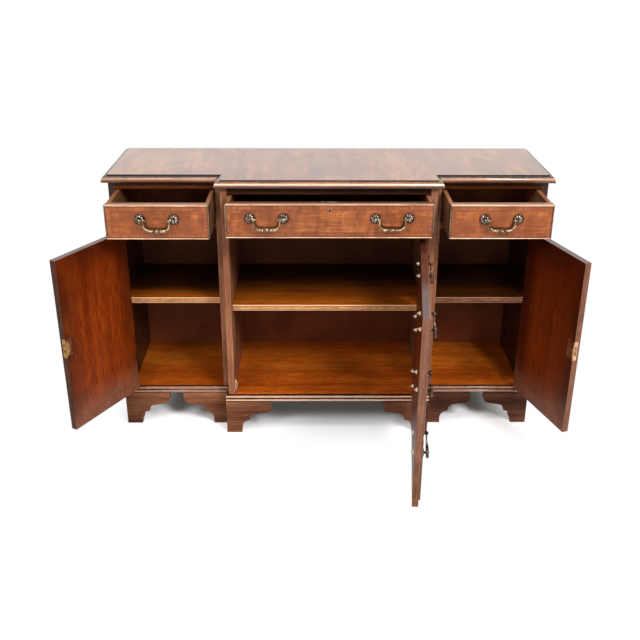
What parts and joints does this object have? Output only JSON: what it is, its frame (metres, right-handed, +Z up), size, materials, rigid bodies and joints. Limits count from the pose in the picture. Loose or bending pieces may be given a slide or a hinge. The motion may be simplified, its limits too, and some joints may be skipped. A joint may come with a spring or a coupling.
{
  "type": "breakfront sideboard",
  "caption": "Breakfront sideboard on bracket feet: sliding drawers over hinged cupboard doors, with swinging brass bail handles, inner shelves and a moulded top.",
  "frame": {"origin": "floor level, at the middle of the back face", "axes": "+X to the right seen from the front, +Y out of the back towards the wall, +Z up; the doors and drawers face -Y"},
  "size_m": [1.5192, 1.0129, 0.8645],
  "materials": {
    "top_veneer": "french polished, half gloss",
    "mahogany": "french polished, half gloss",
    "front_veneer": "french polished, half gloss",
    "door_inside": "satin polish",
    "inside_wood": "stained, satin",
    "floor_wood": "satin polish",
    "shelf_wood": "satin polish",
    "drawer_lining": "stained, satin",
    "back_wood": "stained, matt",
    "foot_blocks": "bare softwood",
    "cockbead": "polished",
    "brass": "aged, satin",
    "bright_brass": "polished",
    "steel": "zinc plated"
  },
  "bodies": {
    "carcass": {"top_board": "top_veneer", "top_moulding": "mahogany", "left_side_panel": "mahogany", "right_side_panel": "mahogany", "left_partition": "mahogany", "right_partition": "mahogany", "bay_stiles": "mahogany", "top_rails": "mahogany", "divider_frames": "inside_wood", "drawer_guides": "inside_wood", "bottom_boards": "floor_wood", "back_boards": "back_wood", "left_shelf": "shelf_wood", "centre_shelf": "shelf_wood", "right_shelf": "shelf_wood", "shelf_pegs": "steel", "plinth_moulding": "mahogany", "bracket_feet": "mahogany", "back_foot_board": "foot_blocks", "glue_blocks": "foot_blocks", "carcass_hinges": "brass", "door_catch": "bright_brass"},
    "left_drawer": {"left_drawer_front": "front_veneer", "left_drawer_cockbead": "cockbead", "left_drawer_box": "drawer_lining", "left_drawer_posts": "brass"},
    "left_drawer_bail": {"left_drawer_bail": "brass"},
    "centre_drawer": {"centre_drawer_front": "front_veneer", "centre_drawer_cockbead": "cockbead", "centre_drawer_box": "drawer_lining", "centre_drawer_posts": "brass", "centre_drawer_lock": "brass"},
    "centre_drawer_left_bail": {"centre_drawer_left_bail": "brass"},
    "centre_drawer_right_bail": {"centre_drawer_right_bail": "brass"},
    "centre_drawer_bolt": {"centre_drawer_bolt": "brass"},
    "right_drawer": {"right_drawer_front": "front_veneer", "right_drawer_cockbead": "cockbead", "right_drawer_box": "drawer_lining", "right_drawer_posts": "brass"},
    "right_drawer_bail": {"right_drawer_bail": "brass"},
    "left_door": {"left_door_panel": "door_inside", "left_door_lock": "brass", "left_door_hinges": "brass"},
    "left_door_bolt": {"left_door_bolt": "brass"},
    "right_door": {"right_door_panel": "door_inside", "right_door_lock": "brass", "right_door_hinges": "brass"},
    "right_door_bolt": {"right_door_bolt": "brass"},
    "centre_door": {"centre_door_panel": "front_veneer", "false_fronts": "front_veneer", "false_cockbeads": "cockbead", "centre_door_posts": "brass", "centre_door_hinges": "brass"},
    "top_left_bail": {"top_left_bail": "brass"},
    "top_right_bail": {"top_right_bail": "brass"},
    "middle_left_bail": {"middle_left_bail": "brass"},
    "middle_right_bail": {"middle_right_bail": "brass"},
    "bottom_left_bail": {"bottom_left_bail": "brass"},
    "bottom_right_bail": {"bottom_right_bail": "brass"}
  },
  "joints": [
    {"name": "left_drawer_slide", "type": "slide", "parent": "carcass", "child": "left_drawer", "axis": [0, -1, 0], "range_m": [-0.169, 0.081]},
    {"name": "centre_drawer_slide", "type": "slide", "parent": "carcass", "child": "centre_drawer", "axis": [0, -1, 0], "range_m": [-0.096, 0.204]},
    {"name": "right_drawer_slide", "type": "slide", "parent": "carcass", "child": "right_drawer", "axis": [0, -1, 0], "range_m": [-0.164, 0.086]},
    {"name": "left_door_hinge", "type": "hinge", "parent": "carcass", "child": "left_door", "pos_m": [-0.64875, -0.348, 0.4175], "axis": [0, 0, -1], "range_deg": [-119, 46]},
    {"name": "centre_door_hinge", "type": "hinge", "parent": "carcass", "child": "centre_door", "pos_m": [0.30425, -0.4095, 0.4175], "axis": [0, 0, 1], "range_deg": [-84, 11]},
    {"name": "right_door_hinge", "type": "hinge", "parent": "carcass", "child": "right_door", "pos_m": [0.64875, -0.348, 0.4175], "axis": [0, 0, 1], "range_deg": [-107.5, 57.5]},
    {"name": "left_drawer_bail_swing", "type": "hinge", "parent": "left_drawer", "child": "left_drawer_bail", "pos_m": [-0.498, -0.525, 0.77744], "axis": [-1, 0, 0], "range_deg": [0, 110]},
    {"name": "centre_drawer_left_bail_swing", "type": "hinge", "parent": "centre_drawer", "child": "centre_drawer_left_bail", "pos_m": [-0.182, -0.5135, 0.77744], "axis": [-1, 0, 0], "range_deg": [0, 110]},
    {"name": "centre_drawer_right_bail_swing", "type": "hinge", "parent": "centre_drawer", "child": "centre_drawer_right_bail", "pos_m": [0.182, -0.5135, 0.77744], "axis": [-1, 0, 0], "range_deg": [0, 110]},
    {"name": "right_drawer_bail_swing", "type": "hinge", "parent": "right_drawer", "child": "right_drawer_bail", "pos_m": [0.498, -0.52, 0.77744], "axis": [-1, 0, 0], "range_deg": [0, 110]},
    {"name": "bottom_left_bail_swing", "type": "hinge", "parent": "centre_door", "child": "bottom_left_bail", "pos_m": [0.26138, -0.89392, 0.26752], "axis": [-0.1045, -0.9945, 0], "range_deg": [0, 110]},
    {"name": "bottom_right_bail_swing", "type": "hinge", "parent": "centre_door", "child": "bottom_right_bail", "pos_m": [0.29943, -0.53192, 0.26752], "axis": [-0.1045, -0.9945, 0], "range_deg": [0, 110]},
    {"name": "middle_left_bail_swing", "type": "hinge", "parent": "centre_door", "child": "middle_left_bail", "pos_m": [0.26138, -0.89392, 0.45785], "axis": [-0.1045, -0.9945, 0], "range_deg": [0, 110]},
    {"name": "middle_right_bail_swing", "type": "hinge", "parent": "centre_door", "child": "middle_right_bail", "pos_m": [0.29943, -0.53192, 0.45785], "axis": [-0.1045, -0.9945, 0], "range_deg": [0, 110]},
    {"name": "top_left_bail_swing", "type": "hinge", "parent": "centre_door", "child": "top_left_bail", "pos_m": [0.26138, -0.89392, 0.63046], "axis": [-0.1045, -0.9945, 0], "range_deg": [0, 110]},
    {"name": "top_right_bail_swing", "type": "hinge", "parent": "centre_door", "child": "top_right_bail", "pos_m": [0.29943, -0.53192, 0.63046], "axis": [-0.1045, -0.9945, 0], "range_deg": [0, 110]},
    {"name": "centre_drawer_bolt_throw", "type": "slide", "parent": "centre_drawer", "child": "centre_drawer_bolt", "axis": [0, 0, 1], "range_m": [0, 0.009]},
    {"name": "right_door_bolt_throw", "type": "slide", "parent": "right_door", "child": "right_door_bolt", "axis": [0.3007, -0.9537, 0], "range_m": [0, 0.009]},
    {"name": "left_door_bolt_throw", "type": "slide", "parent": "left_door", "child": "left_door_bolt", "axis": [-0.4848, -0.8746, 0], "range_m": [0, 0.009]}
  ]
}
